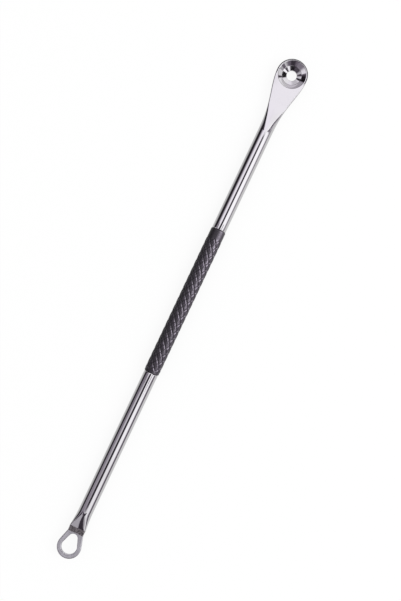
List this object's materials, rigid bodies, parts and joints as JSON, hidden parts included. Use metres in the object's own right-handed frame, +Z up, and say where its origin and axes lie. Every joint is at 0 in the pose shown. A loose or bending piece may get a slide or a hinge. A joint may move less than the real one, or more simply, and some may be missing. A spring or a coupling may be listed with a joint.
{
  "type": "blackhead extractor",
  "caption": "Slim double-ended blackhead extractor: polished steel shanks with a dished pierced spoon and a flat teardrop loop, joined by a black diamond-patterned grip.",
  "frame": {"origin": "under the middle of the tool, on the surface that it lies on", "axes": "+X along the tool toward the spoon, +Z up out of the dish, +Y across the tool"},
  "size_m": [0.12, 0.007, 0.0034],
  "materials": {
    "polished_steel": "mirror-polished stainless steel",
    "loop_steel": "polished stainless steel strip",
    "core_steel": "turned steel",
    "black_rubber": "satin black moulded rubber"
  },
  "bodies": {
    "root": {"spoon_end": "polished_steel", "loop_end": "polished_steel", "extraction_loop": "loop_steel", "grip_core": "core_steel", "grip_sleeve": "black_rubber"}
  },
  "joints": []
}
